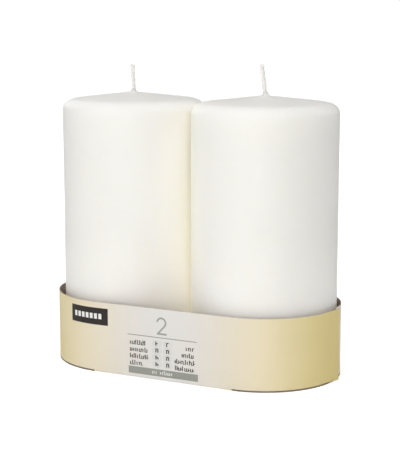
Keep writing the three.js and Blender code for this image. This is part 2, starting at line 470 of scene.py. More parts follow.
def printed_board():
    """Coated board printed with a gradient from a silvery white middle to pale gold ends."""
    material, tree, shader, place = start_material("printed_board", IOR=1.46, Coat_Weight=0.12,
                                                   Coat_Roughness=0.3)
    layout = tree.nodes.new("ShaderNodeUVMap")
    layout.uv_map = "board_layout"
    parts = tree.nodes.new("ShaderNodeSeparateXYZ")
    tree.links.new(layout.outputs["UV"], parts.inputs[0])
    along = parts.outputs["X"]
    away = math_node(tree, "ABSOLUTE", math_node(tree, "SUBTRACT", along, GRADIENT_MIDDLE))
    share = math_node(tree, "DIVIDE", away, GRADIENT_REACH)
    ramp = tree.nodes.new("ShaderNodeValToRGB")
    ramp.color_ramp.interpolation = "B_SPLINE"
    stops = ramp.color_ramp.elements
    stops[0].position, stops[0].color = GRADIENT[0][0], (*GRADIENT[0][1], 1)
    stops[1].position, stops[1].color = GRADIENT[-1][0], (*GRADIENT[-1][1], 1)
    for position, colour in GRADIENT[1:-1]:
        stops.new(position).color = (*colour, 1)
    tree.links.new(share, ramp.inputs["Fac"])
    dots = noise(tree, place, 2600.0, 2.0, 0.6)
    speckle = remap(tree, dots, 0.35, 0.65, 0.975, 1.015)
    fade = noise(tree, place, 45.0, 2.0)
    wear = math_node(tree, "MULTIPLY", speckle, remap(tree, fade, 0.3, 0.7, 0.985, 1.01))
    printed = scale_vector(tree, ramp.outputs["Color"], wear)
    scuffs = place_group(tree, light_scuffs, place, Scale=55.0, Cover=0.6)
    rubbed = mix_colour(tree, math_node(tree, "MULTIPLY", scuffs.outputs["Mask"], 0.25),
                        printed, RUBBED_COLOUR)
    past_seam = math_node(tree, "GREATER_THAN", along, seam_along + SEAM_MARGIN_GAP)
    by_seam = math_node(tree, "LESS_THAN", along, seam_along + SEAM_MARGIN)
    margin = math_node(tree, "MULTIPLY", past_seam, by_seam)
    colour = mix_colour(tree, margin, rubbed, SEAM_MARGIN_COLOUR)
    grain = place_group(tree, close_grain, place, Grain_Scale=2400.0, Swell_Scale=60.0,
                        Swell_Share=0.7)
    rough = remap(tree, grain.outputs["Height"], 0.3, 0.7, 0.4, 0.52)
    paint(tree, shader, colour, rough)
    bump(tree, shader, grain.outputs["Height"], 0.16, 0.0002)
    return material


def pulp_board(name, light, dark, fibre_scale, strength):
    """Unprinted grey board, or its cut edge: recycled pulp with darker and lighter fibres."""
    material, tree, shader, place = start_material(name, Specular_IOR_Level=0.25)
    mottle = place_group(tree, soft_mottle, place, Light_Colour=(*light, 1),
                         Dark_Colour=(*dark, 1), Patch_Scale=170.0, Amount=0.75)
    flecks = noise(tree, place, fibre_scale, 5.0, 0.75, 1.2)
    dark_flecks = remap(tree, flecks, 0.62, 0.72, 0.0, 0.55, smooth=True)
    pale_flecks = remap(tree, flecks, 0.30, 0.38, 0.45, 0.0, smooth=True)
    darker = mix_colour(tree, dark_flecks, mottle.outputs["Colour"], tuple(c * 0.5 for c in dark))
    colour = mix_colour(tree, pale_flecks, darker, tuple(min(1, c * 1.5) for c in light))
    rough = remap(tree, flecks, 0.3, 0.7, 0.82, 0.96)
    paint(tree, shader, colour, rough)
    bump(tree, shader, flecks, strength, 0.0001)
    return material


def printing_ink(name, colour, spread):
    """A flat printed colour with the slight unevenness of ink on board."""
    material, tree, shader, place = start_material(name, Specular_IOR_Level=0.4)
    thin = tuple(min(1.0, channel + spread) for channel in colour)
    mottle = place_group(tree, soft_mottle, place, Light_Colour=(*colour, 1),
                         Dark_Colour=(*thin, 1), Patch_Scale=900.0, Amount=0.5)
    rough = remap(tree, mottle.outputs["Mask"], 0.0, 1.0, 0.42, 0.55)
    paint(tree, shader, mottle.outputs["Colour"], rough)
    return material


WAX = white_wax()
COTTON = waxed_cotton()
TIN = stamped_tin()
PRINTED = printed_board()
GREY_BACK = pulp_board("grey_back", (0.42, 0.355, 0.30), (0.33, 0.275, 0.23), 1400.0, 0.35)
CUT_EDGE = pulp_board("cut_edge", (0.5, 0.44, 0.36), (0.38, 0.33, 0.27), 2600.0, 0.6)
# A darker copy of the cut edge colour for the base's edges: painted shade where the base sits under
# the band.
SHADED_BASE_EDGE = pulp_board("shaded_base_edge", (0.27, 0.21, 0.165), (0.18, 0.137, 0.105), 2600.0, 0.6)
BLACK_INK = printing_ink("black_ink", (0.02, 0.014, 0.01), 0.008)
TEXT_INK = printing_ink("text_ink", (0.06, 0.056, 0.052), 0.02)
RULE_INK = printing_ink("rule_ink", (0.27, 0.265, 0.25), 0.03)
GREY_INK = printing_ink("grey_ink", (0.315, 0.32, 0.285), 0.03)
PALE_GREY_INK = printing_ink("pale_grey_ink", (0.36, 0.36, 0.336), 0.03)
WHITE_INK = printing_ink("white_ink", (0.86, 0.85, 0.82), 0.03)
PALE_INK = printing_ink("pale_ink", (0.75, 0.73, 0.70), 0.02)
OUTLINE_INK = printing_ink("outline_ink", (0.6, 0.59, 0.57), 0.02)

# ---- Candles -----------------------------------------------------------------

PILLAR_SIDES = 144
PILLAR_RINGS = 44
SHOULDER_STEPS = 10
CROWN_STEPS = 9
COLLAR_STEPS = 7
COLLARS = {"left": (2.9 * MM, 1.7 * MM), "right": (3.3 * MM, 2.0 * MM)}  # radius and height
LIP_RADIUS = 1.1 * MM
FOOT_ROUND = 0.8 * MM
COAT_LINE = 0.15 * MM
FOOT_CLEARANCE = 0.3 * MM
RECESS_DEPTH = 0.7 * MM
NECK_HOLE_WALL = 0.7 * MM
SKIN_FROM_AXIS = 8 * MM
SKIN_FROM_FOOT = 3 * MM
SKIN_UNEVENNESS = 0.16 * MM
SKIN_PATCH = 30 * MM


def step_face(steps):
    """Works the selected face inwards ring by ring: each step is how far in and how far out."""
    for inward, outward in steps:
        bpy.ops.mesh.inset(thickness=inward, depth=outward)


def ring_steps(points):
    """Turns profile points of (radius, height) into steps from each point to the next."""
    return [(before[0] - after[0], after[1] - before[1])
            for before, after in zip(points, points[1:])]


def pillar_top_profile(side):
    """Rounded shoulder, then the crown's slope that meets it without an edge, then the collar."""
    collar_radius, collar_height = COLLARS[side]
    crown_radius = candle_radius - SHOULDER_WIDTH
    slope_there = CROWN_RISE / crown_radius
    last_turn = math.atan(SHOULDER_DROP / (SHOULDER_WIDTH * slope_there))
    points = []
    for step in range(SHOULDER_STEPS + 1):
        turn = last_turn * step / SHOULDER_STEPS
        points.append((crown_radius + SHOULDER_WIDTH * math.cos(turn),
                       SHOULDER_DROP * math.sin(turn)))
    edge_radius, edge_height = points[-1]
    slope = (SHOULDER_DROP + CROWN_RISE - edge_height) / edge_radius
    for step in range(1, CROWN_STEPS + 1):
        radius = edge_radius + (collar_radius - edge_radius) * step / CROWN_STEPS
        points.append((radius, edge_height + slope * (edge_radius - radius)))
    for step in range(1, COLLAR_STEPS + 1):
        share = (step / COLLAR_STEPS) ** 0.7
        radius = collar_radius + (LIP_RADIUS - collar_radius) * share
        climb = collar_height * share ** 3
        points.append((radius, edge_height + slope * (edge_radius - radius) + climb))
    return points


def pillar(side):
    """The wax pillar: side, shoulder, crown and collar, and the hollow for the sustainer."""
    axis = Vector((feet[side].x, feet[side].y, 0))
    foot = feet[side].z
    shoulder_foot = foot + CANDLE_HEIGHT - CROWN_RISE - SHOULDER_DROP
    side_height = shoulder_foot - foot - FOOT_ROUND
    deselect_all()
    bpy.ops.mesh.primitive_cylinder_add(
        vertices=PILLAR_SIDES, radius=candle_radius, depth=side_height, end_fill_type="NGON",
        location=(axis.x, axis.y, shoulder_foot - side_height / 2))
    piece = start_piece(f"{side}_pillar", WAX)
    pick(piece, "EDGE", lambda first, second: abs(first.z - second.z) > side_height / 2)
    bpy.ops.mesh.subdivide(number_cuts=PILLAR_RINGS)

    neck_top = foot + sustainer_height + FOOT_CLEARANCE
    pick(piece, "FACE", lambda centre, normal: normal.z > 0.9)
    step_face(ring_steps(pillar_top_profile(side)))

    recess_radius = (sustainer_high.x - sustainer_low.x) / 2 + FOOT_CLEARANCE
    neck_radius = WICK_HOLE + NECK_HOLE_WALL
    core_radius = candle_radius - COAT_THICKNESS
    round_points = [(candle_radius - FOOT_ROUND * (1 - math.cos(turn)),
                     FOOT_ROUND * math.sin(turn))
                    for turn in (0, math.radians(30), math.radians(60), math.radians(90))]
    pick(piece, "FACE", lambda centre, normal: normal.z < -0.9)
    step_face(ring_steps([
        *round_points,
        (core_radius + COAT_LINE, FOOT_ROUND),
        (core_radius, FOOT_ROUND - COAT_LINE),
        (core_radius - COAT_LINE, FOOT_ROUND),
        (recess_radius * 2, FOOT_ROUND),
        (recess_radius, FOOT_ROUND),
        (recess_radius, FOOT_ROUND - RECESS_DEPTH),
        (neck_radius, FOOT_ROUND - RECESS_DEPTH),
        (neck_radius, FOOT_ROUND + foot - neck_top),
    ]))
    face_out_and_close()

    skin = piece.vertex_groups.new(name="skin")
    skin.add([vertex.index for vertex in piece.data.vertices
              if (vertex.co - axis).xy.length > SKIN_FROM_AXIS
              and vertex.co.z > foot + SKIN_FROM_FOOT], 1.0, "REPLACE")
    clouds = bpy.data.textures.new(f"{side}_skin", "CLOUDS")
    clouds.noise_scale = SKIN_PATCH
    clouds.noise_depth = 2
    apply_modifier(piece, "DISPLACE", "uneven skin", texture=clouds, texture_coords="LOCAL",
                   strength=SKIN_UNEVENNESS, mid_level=0.5, vertex_group="skin")
    return finish_piece(piece, f"{side}_candle", 50,
                        (f"{side}_wax_coat", f"{side}_wax_core"))


STRAND_PAIRS = 3
STRAND_STEP = 0.4 * MM
BRAID_RADIUS = 0.68 * MM
BRAID_WEAVE = 0.08 * MM
STRAND_RADIUS = 0.46 * MM
CORE_RADIUS = 1.06 * MM
BRAID_PITCH = 7.5 * MM
BRAID_TWIST = 17 * MM
FRAY_LENGTH = 2.2 * MM
SWAY = 0.14 * MM
WICK_BELOW_NECK = 5 * MM
CORE_BELOW_TIP = 0.5 * MM
CORE_STEPS = 60
FIBRES = 16
FIBRE_RADIUS = 0.035 * MM
WELD = 0.001 * MM


def wick_centre(side, height):
    """The middle of the wick at a height above the candle's foot: upright, then leaning."""
    share = max(0.0, (height - CANDLE_HEIGHT) / WICKS[side]["proud"])
    lean = WICKS[side]["lean"] * share ** 1.3
    shift = WICKS[side]["shift"] * min(1, height / CANDLE_HEIGHT)
    sway = SWAY * math.sin(2 * math.pi * share)
    return feet[side] + (lean + shift) + Vector((sway, 0, height))


def strand_curve(name, material, points, radius, sides=1):
    """A round strand through the points, as a mesh with closed ends."""
    curve = bpy.data.curves.new(name, "CURVE")
    curve.dimensions = "3D"
    curve.bevel_depth = radius
    curve.bevel_resolution = sides
    curve.use_fill_caps = True
    curve.materials.append(material)
    spline = curve.splines.new("POLY")
    spline.points.add(len(points) - 1)
    for point, place in zip(spline.points, points):
        point.co = (*place, 1)
    strand = bpy.data.objects.new(name, curve)
    bpy.context.scene.collection.objects.link(strand)
    deselect_all()
    strand.select_set(True)
    bpy.context.view_layer.objects.active = strand
    bpy.ops.object.convert(target="MESH")
    bpy.ops.object.mode_set(mode="EDIT")
    bpy.ops.mesh.select_all(action="SELECT")
    bpy.ops.mesh.remove_doubles(threshold=WELD)
    bpy.ops.mesh.normals_make_consistent(inside=False)
    bpy.ops.object.mode_set(mode="OBJECT")
    return bpy.context.object


def wick(side):
    """A round braid of six strands, three each way, over a waxed core, with a frayed tip."""
    bottom = sustainer_height - WICK_BELOW_NECK
    tip = CANDLE_HEIGHT + WICKS[side]["proud"]
    count = round((tip - bottom) / STRAND_STEP)
    phase = dice.uniform(0, math.pi)
    strands = []
    for way in (1, -1):
        for strand in range(STRAND_PAIRS):
            points = []
            start = 2 * math.pi * strand / STRAND_PAIRS
            cut = dice.uniform(-0.45, 0.25) * MM
            for step in range(count + 1):
                height = bottom + (tip + cut - bottom) * step / count
                angle = way * 2 * math.pi * height / BRAID_PITCH + start
                weave = way * BRAID_WEAVE * math.cos(STRAND_PAIRS * angle)
                fray = 1 + 0.3 * max(0.0, 1 - (tip - height) / FRAY_LENGTH) ** 2
                reach = (BRAID_RADIUS + weave) * fray
                turn = phase + math.pi * height / BRAID_TWIST
                flat = Vector((math.cos(angle) * 1.08, math.sin(angle) * 0.92)) * reach
                across = Vector((flat.x * math.cos(turn) - flat.y * math.sin(turn),
                                 flat.x * math.sin(turn) + flat.y * math.cos(turn), 0))
                points.append(wick_centre(side, height) + across)
            strands.append(strand_curve("strand", COTTON, points, STRAND_RADIUS))
    core = [wick_centre(side, bottom + (tip - CORE_BELOW_TIP - bottom) * step / CORE_STEPS)
            for step in range(CORE_STEPS + 1)]
    strands.append(strand_curve("strand", COTTON, core, CORE_RADIUS))
    for _ in range(FIBRES):
        angle = dice.uniform(0, 2 * math.pi)
        out = Vector((math.cos(angle), math.sin(angle), 0))
        root = wick_centre(side, tip - dice.uniform(0.1, 1.2) * MM) + out * BRAID_RADIUS
        length = dice.uniform(0.5, 1.1) * MM
        droop = dice.uniform(0.2, 0.8)
        points = [root + out * length * share * droop
                  + Vector((0, 0, length * share * (1 - 0.4 * share)))
                  for share in (0, 0.35, 0.7, 1)]
        strands.append(strand_curve("strand", COTTON, points, FIBRE_RADIUS, 0))
    piece = join_pieces(strands, f"{side}_braided_wick")
    return finish_piece(piece, f"{side}_candle", 60, (f"{side}_wick",))


TIN_THICKNESS = 0.4 * MM
RING_OUTSIDE = 7.4 * MM
RING_INSIDE = 5.6 * MM
RING_SLOPE = 0.4 * MM
RING_HEIGHT = 0.18 * MM
NECK_FILLET = (0.8 * MM, 0.2 * MM)
NECK_NIP = 0.12 * MM
NECK_EDGE = 0.1 * MM
TIN_WELD = 0.03 * MM


def sustainer(side):
    """The stamped disc with a raised ring and a neck that grips the wick."""
    low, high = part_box(f"{side}_wick_sustainer")
    disc_radius = (high.x - low.x) / 2
    neck_radius = WICK_HOLE + TIN_THICKNESS
    neck_height = high.z - low.z - TIN_THICKNESS
    deselect_all()
    bpy.ops.mesh.primitive_cylinder_add(
        vertices=64, radius=disc_radius, depth=TIN_THICKNESS, end_fill_type="NGON",
        location=((low.x + high.x) / 2, (low.y + high.y) / 2, low.z + TIN_THICKNESS / 2))
    piece = start_piece(f"{side}_sustainer", TIN)
    pick(piece, "FACE", lambda centre, normal: normal.z > 0.9)
    step_face(ring_steps([
        (disc_radius, 0),
        (RING_OUTSIDE, 0),
        (RING_OUTSIDE - RING_SLOPE, RING_HEIGHT),
        (RING_INSIDE + RING_SLOPE, RING_HEIGHT),
        (RING_INSIDE, 0),
        (neck_radius + NECK_FILLET[0], 0),
        (neck_radius + NECK_FILLET[1], NECK_FILLET[1]),
        (neck_radius, NECK_FILLET[0]),
        (neck_radius, neck_height * 0.45),
        (neck_radius - NECK_NIP, neck_height * 0.55),
        (neck_radius - NECK_NIP, neck_height * 0.9),
        (neck_radius - NECK_NIP - NECK_EDGE, neck_height),
        (WICK_HOLE, neck_height),
        (WICK_HOLE, -TIN_THICKNESS),
    ]))
    bpy.ops.mesh.delete(type="ONLY_FACE")
    underside = low.z + NEAR
    pick(piece, "FACE", lambda centre, normal: normal.z < -0.9 and centre.z < underside)
    step_face(ring_steps([(disc_radius, 0), (disc_radius / 2, 0), (WICK_HOLE, 0)]))
    bpy.ops.mesh.delete(type="ONLY_FACE")
    bpy.ops.mesh.select_all(action="SELECT")
    bpy.ops.mesh.remove_doubles(threshold=TIN_WELD)
    face_out_and_close()
    return finish_piece(piece, f"{side}_candle", 40, (f"{side}_wick_sustainer",))


# ---- Tray --------------------------------------------------------------------


def outline(along, inset=0.0):
    """A place on the tray's outline, a length from the middle of the front, moved inwards."""
    while along > half_round:
        along -= 2 * half_round
    while along < -half_round:
        along += 2 * half_round
    way = 1 if along >= 0 else -1
    length = abs(along)
    radius = tray_radius - inset
    if length <= end_centre:
        return Vector((along, -radius, 0))
    past = length - end_centre
    if past >= end_length:
        return Vector((way * (end_centre - (past - end_length)), radius, 0))
    angle = past / tray_radius - math.pi / 2
    return Vector((way * (end_centre + radius * math.cos(angle)), radius * math.sin(angle), 0))


def length_along(place):
    """The other way round: how far along the outline a place lies."""
    if abs(place.x) <= end_centre:
        return place.x if place.y < 0 else math.copysign(half_round - abs(place.x), place.x)
    way = math.copysign(1, place.x)
    angle = math.atan2(place.y, abs(place.x) - end_centre)
    return way * (end_centre + tray_radius * (angle + math.pi / 2))


def stations(start, end, step):
    """Lengths from start to end in even steps."""
    count = max(1, math.ceil(abs(end - start) / step))
    return [start + (end - start) * index / count for index in range(count + 1)]


def strip(name, materials, lengths, low, high, place_at, cuts=0):
    """A standing strip drawn through the places at the lengths by extruding an upright edge."""
    first = place_at(lengths[0])
    height = high - low
    deselect_all()
    bpy.ops.mesh.primitive_plane_add(size=height, rotation=(math.pi / 2, 0, 0),
                                     location=(first.x + height / 2, first.y, low + height / 2))
    piece = start_piece(name, *materials)
    pick(piece, "VERT", lambda place: place.x > first.x + height / 2)
    bpy.ops.mesh.delete(type="VERT")
    bpy.ops.mesh.select_mode(type="EDGE")
    bpy.ops.mesh.select_all(action="SELECT")
    if cuts:
        bpy.ops.mesh.subdivide(number_cuts=cuts)
        bpy.ops.mesh.select_all(action="SELECT")
    before = first
    for along in lengths[1:]:
        place = place_at(along)
        extrude(place - before)
        before = place
    return piece


def face_outwards(piece):
    """Turns the strip's faces away from the inside of the tray."""
    bpy.ops.object.mode_set(mode="OBJECT")
    face = piece.data.polygons[0]
    middle = Vector((math.copysign(min(abs(face.center.x), end_centre), face.center.x), 0, 0))
    turned_in = face.normal.dot((face.center - middle) * Vector((1, 1, 0))) < 0
    bpy.ops.object.mode_set(mode="EDIT")
    if turned_in:
        bpy.ops.mesh.select_all(action="SELECT")
        bpy.ops.mesh.flip_normals()


def thicken(piece, thickness, edge_round=0.0):
    """Gives a strip its board thickness inwards, with its own materials inside and on the edges."""
    bpy.ops.object.mode_set(mode="OBJECT")
    apply_modifier(piece, "SOLIDIFY", "board", thickness=thickness, offset=-1.0,
                   use_even_offset=True, material_offset=1, material_offset_rim=2)
    if edge_round:
        apply_modifier(piece, "BEVEL", "soft edges", width=edge_round, segments=1,
                       limit_method="ANGLE", angle_limit=math.radians(60))


def lay_out(piece):
    """A map of lengths along the outline and heights, which the print follows."""
    layout = piece.data.uv_layers.new(name="board_layout")
    for face in piece.data.polygons:
        middle = length_along(face.center)
        for index in face.loop_indices:
            place = piece.data.vertices[piece.data.loops[index].vertex_index].co
            along = length_along(place)
            if abs(along - middle) > half_round:
                along += math.copysign(2 * half_round, middle)
            layout.data[index].uv = (along, place.z)


BAND_STEP = 1.5 * MM
BAND_CUTS = 8
FLAP_CUTS = 3
EDGE_ROUND = 0.05 * MM
CREASE_SHORTER = 5.6 * MM
CREASE_INSET = 0.66 * MM
CREASE_BEAD = 0.42 * MM
LIP_SHARE = 0.9
BEAD_CLEARANCE = 0.02 * MM
FOLD_TOP = 0.46 * MM
FOLD_STEPS = ((0.05, -0.16), (0.14, -0.14), (0.2, -0.1), (0.24, -0.06))
FREE_END_STEPS = 6
FREE_END_DROP = 1.6 * CREASE_BEAD
FREE_END_PAST_SEAM = 3 * MM
CREASE_DEPTH = 2 * MM
FLAP_FOOT_GAP = 0.04 * MM
FLAP_TOP_GAP = 0.1 * MM
fold_half = crease_half - CREASE_SHORTER
band_low = board + CREASE_BEAD + BEAD_CLEARANCE


def tray_band():
    """The printed band, once round from the seam, folded under at the front and rear creases."""
    end = seam_along - 2 * half_round
    jog_start = end + SEAM_JOG
    spring_start = seam_along - SEAM_SPRING
    spring_way = (outline(spring_start + NEAR) - outline(spring_start)).normalized()

    def place_at(along):
        """On the outline, but the free outer end springs straight and the other jogs under it."""
        if along > spring_start:
            return outline(spring_start) + spring_way * (along - spring_start)
        return outline(along, doubled_board * max(0.0, (jog_start - along) / SEAM_JOG))

    corners = [seam_along, spring_start, fold_half, end_centre, -end_centre, -fold_half,
               -half_round + fold_half, -half_round + end_centre,
               -half_round - end_centre, -half_round - fold_half, jog_start, end]
    lengths = [corners[0]]
    for first, second in zip(corners, corners[1:]):
        lengths += stations(first, second, BAND_STEP)[1:]
    piece = strip("tray_band", (PRINTED, GREY_BACK, CUT_EDGE), lengths, band_low,
                  tray_height, place_at, BAND_CUTS)
    bottom = band_low + NEAR

    def beyond(place):
        """True on the free outer end, which stands off the round."""
        return Vector((place.x - end_centre, place.y)).length > tray_radius + NEAR

    def on_crease(first, second, way):
        """True for a lower edge along the front crease (way -1) or the rear one (way 1)."""
        both = (first, second)
        return all(place.z < bottom and abs(place.x) < fold_half + NEAR
                   and way * place.y > tray_radius - CREASE_DEPTH for place in both)

    pick(piece, "EDGE", lambda first, second: on_crease(first, second, -1))
    extrude((0, 0, FOLD_TOP - band_low))
    for inward, drop in FOLD_STEPS:
        extrude((0, inward * MM, drop * MM))
    pick(piece, "EDGE", lambda first, second: on_crease(first, second, 1))
    extrude((0, 0, -band_low))
    for step in range(FREE_END_STEPS):
        start = spring_start + SEAM_SPRING * step / FREE_END_STEPS
        pick(piece, "VERT", lambda place: place.z < bottom and abs(place.y) < tray_radius / 2
             and start < length_along(place) < seam_along + FREE_END_PAST_SEAM
             and beyond(place))
        bpy.ops.transform.translate(value=(0, 0, -FREE_END_DROP / FREE_END_STEPS))
    face_outwards(piece)
    thicken(piece, board, EDGE_ROUND)
    lay_out(piece)
    return finish_piece(piece, "tray", 40,
                        ("front_wall", "left_end_wall", "rear_wall", "right_end_front_wall",
                         "right_end_rear_wall"))


def tray_base():
    """The base panel, creased sides inside the band and a raised lip round its round ends."""
    corners = [(-fold_half, fold_half, CREASE_INSET), (fold_half, half_round - fold_half, 0.0),
               (half_round - fold_half, half_round + fold_half, doubled_board),
               (half_round + fold_half, 2 * half_round - fold_half, 0.0)]
    places = []
    for start, end, inset in corners:
        places += [outline(along, inset) for along in stations(start, end, BAND_STEP)]
    deselect_all()
    bpy.ops.mesh.primitive_plane_add(size=board, location=places[0])
    piece = start_piece("tray_base", GREY_BACK, SHADED_BASE_EDGE)
    bpy.ops.mesh.select_mode(type="VERT")
    bpy.ops.mesh.select_all(action="SELECT")
    bpy.ops.mesh.merge(type="CENTER")
    bpy.ops.mesh.select_all(action="SELECT")
    for before, place in zip(places, places[1:]):
        extrude(place - before)
    bpy.ops.mesh.select_all(action="SELECT")
    bpy.ops.mesh.edge_face_add()
    extrude((0, 0, board))
    bpy.ops.mesh.select_all(action="SELECT")
    bpy.ops.mesh.normals_make_consistent(inside=False)
    pick(piece, "FACE", lambda centre, normal: normal.z > 0.9)
    bpy.ops.mesh.inset(thickness=board * LIP_SHARE)
    pick(piece, "FACE", lambda centre, normal: normal.z > 0.9 and abs(centre.x) > fold_half
         and (centre - outline(length_along(centre))).xy.length < board)
    extrude((0, 0, CREASE_BEAD))
    bpy.ops.object.mode_set(mode="OBJECT")
    # The base's side faces take the darker edge colour, painted shade under the band.
    for face in piece.data.polygons:
        face.material_index = 1 if abs(face.normal.z) < 0.5 else 0
    return finish_piece(piece, "tray", 30, ("base_panel",))


def inner_flap(name, start, end, low, high, inset, node):
    """A flap of board glued against the inside of the band."""
    piece = strip(name, (GREY_BACK, GREY_BACK, CUT_EDGE), stations(start, end, BAND_STEP),
                  low, high, lambda along: outline(along, inset), FLAP_CUTS)
    face_outwards(piece)
    thicken(piece, board, EDGE_ROUND)
    return finish_piece(piece, "tray", 40, (node,))


# ---- Print on the front ------------------------------------------------------

INK_PROUD = 0.02 * MM
INK_STEP = 1.5 * MM

# Printed rectangles as start, end, low and high, from the middle of the front and the floor.
BADGE = (-58.3 * MM, -32.8 * MM, 26.6 * MM, 36.1 * MM)
FIRST_BAR = (-55.6 * MM, -53.7 * MM, 29.9 * MM, 32.9 * MM)
BARS = 7
BAR_PITCH = 2.8 * MM
SIZE_BAR = (-19.95 * MM, 22.2 * MM, 2.15 * MM, 6.05 * MM)
RULE = (-20.5 * MM, 21.4 * MM, 23.45 * MM, 23.85 * MM)

STROKE_FLATNESS = 0.04

# The strokes' places, sizes and weights are in millimetres.
NUMERAL_WEIGHT = 1.15
NUMERAL_BASE = 25.75
WORD_SIZE = 1.8
WORD_WEIGHT = 0.6
WORDS_LEFT_EDGE = -18.8
WORDS_RIGHT_EDGE = 20.4
WORD_BASELINES = (18.3, 14.5, 10.7, 6.95)
LEFT_WORDS = (10.2, 11.5, 11.0, 7.6)
RIGHT_WORDS = (5.2, 7.6, 11.8, 11.7)
OVAL_COLUMNS = (-2.45, 4.1)
OVAL_HALF_WIDTH = 2.75
OVAL_HALF_HEIGHT = 1.85
OVAL_OUTLINE = 0.16
LETTER_HALF_WIDTH = 0.6
LETTER_HALF_HEIGHT = 1.1
LETTER_WEIGHT = 0.72
LETTER_BAR_WEIGHT = 0.6
LETTER_SIDE_WEIGHT = 0.68
SIZE_WORDS = ((-5.2, 3.0), (-0.4, 7.6))
SIZE_BASELINE = 3.25
SIZE_MARK_SIZE = 1.6
SIZE_MARK_WEIGHT = 0.4


def ink_block(name, start, end, low, high, material, layers=1):
    """A printed rectangle that follows the band, a layer or two above it."""
    piece = strip(name, (material,), stations(start, end, INK_STEP), low, high,
                  lambda along: outline(along, -INK_PROUD * layers))
    face_outwards(piece)
    thicken(piece, INK_PROUD * 1.5)
    return piece


def printed_block(name, start, end, low, high, material):
    """A printed rectangle that is a piece of its own."""
    piece = ink_block(name, start, end, low, high, material)
    return finish_piece(piece, "tray", 30)


def printed_strokes(name, strokes, material, layers=1):
    """Strokes on the flat front, each with its points of (across, height) and its width."""
    lines = []
    for points, width in strokes:
        places = [Vector((across * MM, 0, height * MM)) for across, height in points]
        lines.append(strand_curve("stroke", material, places, width * MM / 2))
    piece = join_pieces(lines, name)
    bpy.ops.object.mode_set(mode="EDIT")
    bpy.ops.mesh.select_all(action="SELECT")
    bpy.ops.transform.resize(value=(1, STROKE_FLATNESS, 1), center_override=(0, 0, 0))
    bpy.ops.transform.translate(value=(0, -tray_radius - INK_PROUD * (layers - 1), 0))
    bpy.ops.object.mode_set(mode="OBJECT")
    return finish_piece(piece, "tray", 30)


def arc(centre, radius, start, end, steps=14):
    """Points on part of a circle, between two angles in degrees."""
    turns = [math.radians(start + (end - start) * step / steps) for step in range(steps + 1)]
    return [(centre[0] + radius * math.cos(turn), centre[1] + radius * math.sin(turn))
            for turn in turns]


def numeral_two():
    """The number of candles: a bowl, a slanting stroke and a foot."""
    bowl = arc((0.35, 31.9), 2.55, 172, -38)
    slant = [bowl[-1], (-1.9, NUMERAL_BASE)]
    foot = [(-2.4, NUMERAL_BASE), (3.5, NUMERAL_BASE)]
    strokes = [(points, NUMERAL_WEIGHT) for points in (bowl, slant, foot)]
    return printed_strokes("print_numeral", strokes, PALE_GREY_INK)


def word_strokes(start, width, baseline, size, weight):
    """An unreadable word: uprights and short bars of uneven height."""
    strokes = []
    across = start
    while across < start + width - 0.3 * size:
        tall = size * (1.45 if dice.random() < 0.3 else 1.0)
        strokes.append(([(across, baseline), (across, baseline + tall)], weight))
        if dice.random() < 0.6:
            level = baseline + size * dice.choice((0.08, 0.5, 0.92))
            strokes.append(([(across, level), (across + 0.5 * size, level)], weight * 0.8))
        across += size * dice.uniform(0.5, 0.78)
    return strokes


def print_words():
    """Four lines of unreadable words, with a mark like a letter in each oval between them."""
    strokes = []
    for baseline, left, right in zip(WORD_BASELINES, LEFT_WORDS, RIGHT_WORDS):
        strokes += word_strokes(WORDS_LEFT_EDGE, left, baseline, WORD_SIZE, WORD_WEIGHT)
        strokes += word_strokes(WORDS_RIGHT_EDGE - right, right, baseline, WORD_SIZE, WORD_WEIGHT)
        for column in OVAL_COLUMNS:
            middle = baseline + OVAL_HALF_HEIGHT
            before, after = column - LETTER_HALF_WIDTH, column + LETTER_HALF_WIDTH
            strokes.append(([(before, middle - LETTER_HALF_HEIGHT),
                             (before, middle + LETTER_HALF_HEIGHT)], LETTER_WEIGHT))
            level = middle + dice.choice((-0.9, 0.1, 0.9))
            strokes.append(([(before, level), (after, level)], LETTER_BAR_WEIGHT))
            if dice.random() < 0.5:
                strokes.append(([(after, middle - 1.0), (after, level)], LETTER_SIDE_WEIGHT))
    return printed_strokes("print_words", strokes, TEXT_INK, 2)


def print_ovals():
    """Pale ovals with a thin outline, two on each line of words."""
    ovals = []
    for baseline in WORD_BASELINES:
        for column in OVAL_COLUMNS:
            deselect_all()
            bpy.ops.mesh.primitive_circle_add(
                vertices=40, radius=1, fill_type="NGON", rotation=(math.pi / 2, 0, 0),
                location=(column * MM, -tray_radius, (baseline + OVAL_HALF_HEIGHT) * MM))
            bpy.context.object.scale = (OVAL_HALF_WIDTH * MM, OVAL_HALF_HEIGHT * MM, 1)
            oval = start_piece("oval", PALE_INK, OUTLINE_INK)
            bpy.ops.mesh.select_all(action="SELECT")
            extrude((0, -INK_PROUD / 2, 0))
            oval.active_material_index = 1
            bpy.ops.object.material_slot_assign()
            bpy.ops.mesh.inset(thickness=OVAL_OUTLINE * MM)
            oval.active_material_index = 0
            bpy.ops.object.material_slot_assign()
            face_out_and_close()
            ovals.append(oval)
    piece = join_pieces(ovals, "print_ovals")
    return finish_piece(piece, "tray", 30)


def print_badge():
    """The dark block near the left end, with a plain row of bars in place of a name."""
    printed_block("print_badge", *BADGE, BLACK_INK)
    start, end, low, high = FIRST_BAR
    bars = []
    for index in range(BARS):
        shift = BAR_PITCH * index
        bars.append(ink_block("bar", start + shift, end + shift, low, high, WHITE_INK, 2))
    return finish_piece(join_pieces(bars, "print_badge_bars"), "tray", 30)


def print_size_bar():
    """The grey bar at the foot of the print, with unreadable marks."""
    printed_block("print_size_bar", *SIZE_BAR, GREY_INK)
    strokes = []
    for start, width in SIZE_WORDS:
        strokes += word_strokes(start, width, SIZE_BASELINE, SIZE_MARK_SIZE, SIZE_MARK_WEIGHT)
    return printed_strokes("print_size_marks", strokes, WHITE_INK, 2)


# ---- Build -------------------------------------------------------------------

